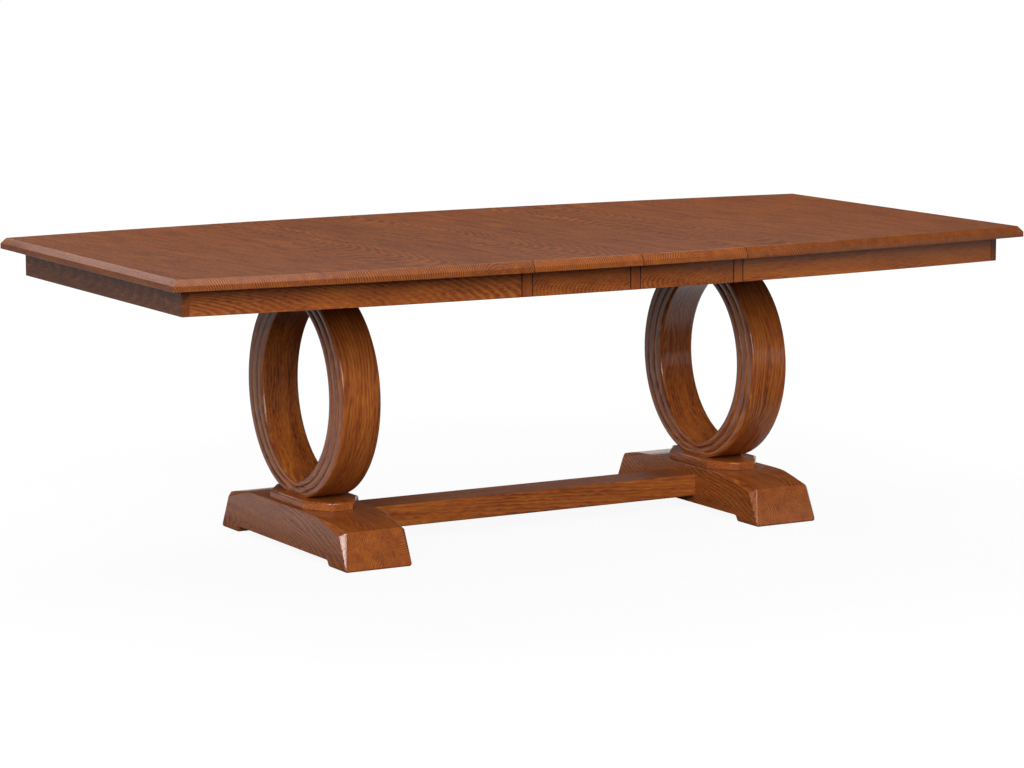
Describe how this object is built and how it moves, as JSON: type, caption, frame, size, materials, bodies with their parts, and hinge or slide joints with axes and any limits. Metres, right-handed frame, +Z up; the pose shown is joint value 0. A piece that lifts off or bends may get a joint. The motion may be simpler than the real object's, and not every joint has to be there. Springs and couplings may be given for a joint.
{
  "type": "trestle extension table",
  "caption": "Boat-shaped wooden dining table on a ring-pedestal trestle base, with skirted leaves in place and geared slides that draw the top's halves apart.",
  "frame": {"origin": "on the floor, under the middle of the top", "axes": "+X along the table to the viewer's right, +Y away from the viewer, +Z up"},
  "size_m": [2.438, 1.213, 0.768],
  "materials": {
    "stained_oak": "stained plain-sawn oak, semi-gloss lacquer",
    "maple": "waxed hard maple",
    "beech": "plain turned beech",
    "poplar": "plain sawn poplar",
    "zinc_steel": "zinc plated steel",
    "nylon": "moulded nylon"
  },
  "bodies": {
    "base": {"back_centre_rail": "maple", "bearer_screws": "zinc_steel", "centre_rail_bolts": "zinc_steel", "floor_glides": "nylon", "front_centre_rail": "maple", "left_bearer": "stained_oak", "left_foot": "stained_oak", "left_plinth": "stained_oak", "left_ring_back": "stained_oak", "left_ring_front": "stained_oak", "pinion_axles": "zinc_steel", "plinth_lag_bolts": "zinc_steel", "right_bearer": "stained_oak", "right_foot": "stained_oak", "right_plinth": "stained_oak", "right_ring_back": "stained_oak", "right_ring_front": "stained_oak", "ring_dowels": "beech", "stretcher": "stained_oak", "stretcher_barrel_nuts": "zinc_steel", "stretcher_hanger_bolts": "zinc_steel"},
    "front_pinion": {"front_pinion": "nylon"},
    "back_pinion": {"back_pinion": "nylon"},
    "left_half": {"left_apron_blocks": "poplar", "left_back_apron": "stained_oak", "left_back_rack": "nylon", "left_back_rail": "maple", "left_block_screws": "zinc_steel", "left_end_apron": "stained_oak", "left_front_apron": "stained_oak", "left_front_rack": "nylon", "left_front_rail": "maple", "left_rail_screws": "zinc_steel", "left_top_board": "stained_oak", "left_top_pins": "beech"},
    "right_half": {"right_apron_blocks": "poplar", "right_apron_stiles": "stained_oak", "right_back_apron": "stained_oak", "right_back_rack": "nylon", "right_back_rail": "maple", "right_block_screws": "zinc_steel", "right_end_apron": "stained_oak", "right_front_apron": "stained_oak", "right_front_rack": "nylon", "right_front_rail": "maple", "right_rail_screws": "zinc_steel", "right_top_board": "stained_oak"},
    "left_leaf": {"left_leaf_back_apron": "stained_oak", "left_leaf_blocks": "poplar", "left_leaf_board": "stained_oak", "left_leaf_front_apron": "stained_oak", "left_leaf_pins": "beech", "left_leaf_stiles": "stained_oak"},
    "right_leaf": {"right_leaf_back_apron": "stained_oak", "right_leaf_blocks": "poplar", "right_leaf_board": "stained_oak", "right_leaf_front_apron": "stained_oak", "right_leaf_pins": "beech", "right_leaf_stiles": "stained_oak"}
  },
  "joints": [
    {"name": "left_half_slide", "type": "slide", "parent": "base", "child": "left_half", "axis": [-1, 0, 0], "range_m": [0, 0.25]},
    {"name": "right_half_slide", "type": "slide", "parent": "base", "child": "right_half", "axis": [1, 0, 0], "range_m": [0, 0.25]},
    {"name": "left_leaf_slide", "type": "slide", "parent": "base", "child": "left_leaf", "axis": [-1, 0, 0], "range_m": [0, 0.0834]},
    {"name": "right_leaf_slide", "type": "slide", "parent": "base", "child": "right_leaf", "axis": [1, 0, 0], "range_m": [0, 0.0834]},
    {"name": "front_pinion_spin", "type": "hinge", "parent": "base", "child": "front_pinion", "pos_m": [0, -0.23, 0.701], "axis": [0, 0, 1], "range_deg": [-600, 0]},
    {"name": "back_pinion_spin", "type": "hinge", "parent": "base", "child": "back_pinion", "pos_m": [0, 0.23, 0.701], "axis": [0, 0, 1], "range_deg": [0, 600]}
  ],
  "couplings": [
    {"joint": "right_half_slide", "follows": "left_half_slide", "ratio": 1},
    {"joint": "left_leaf_slide", "follows": "left_half_slide", "ratio": 0.33333},
    {"joint": "right_leaf_slide", "follows": "left_half_slide", "ratio": 0.33333},
    {"joint": "front_pinion_spin", "follows": "left_half_slide", "rad_per_m": -41.667},
    {"joint": "back_pinion_spin", "follows": "left_half_slide", "rad_per_m": 41.667}
  ]
}
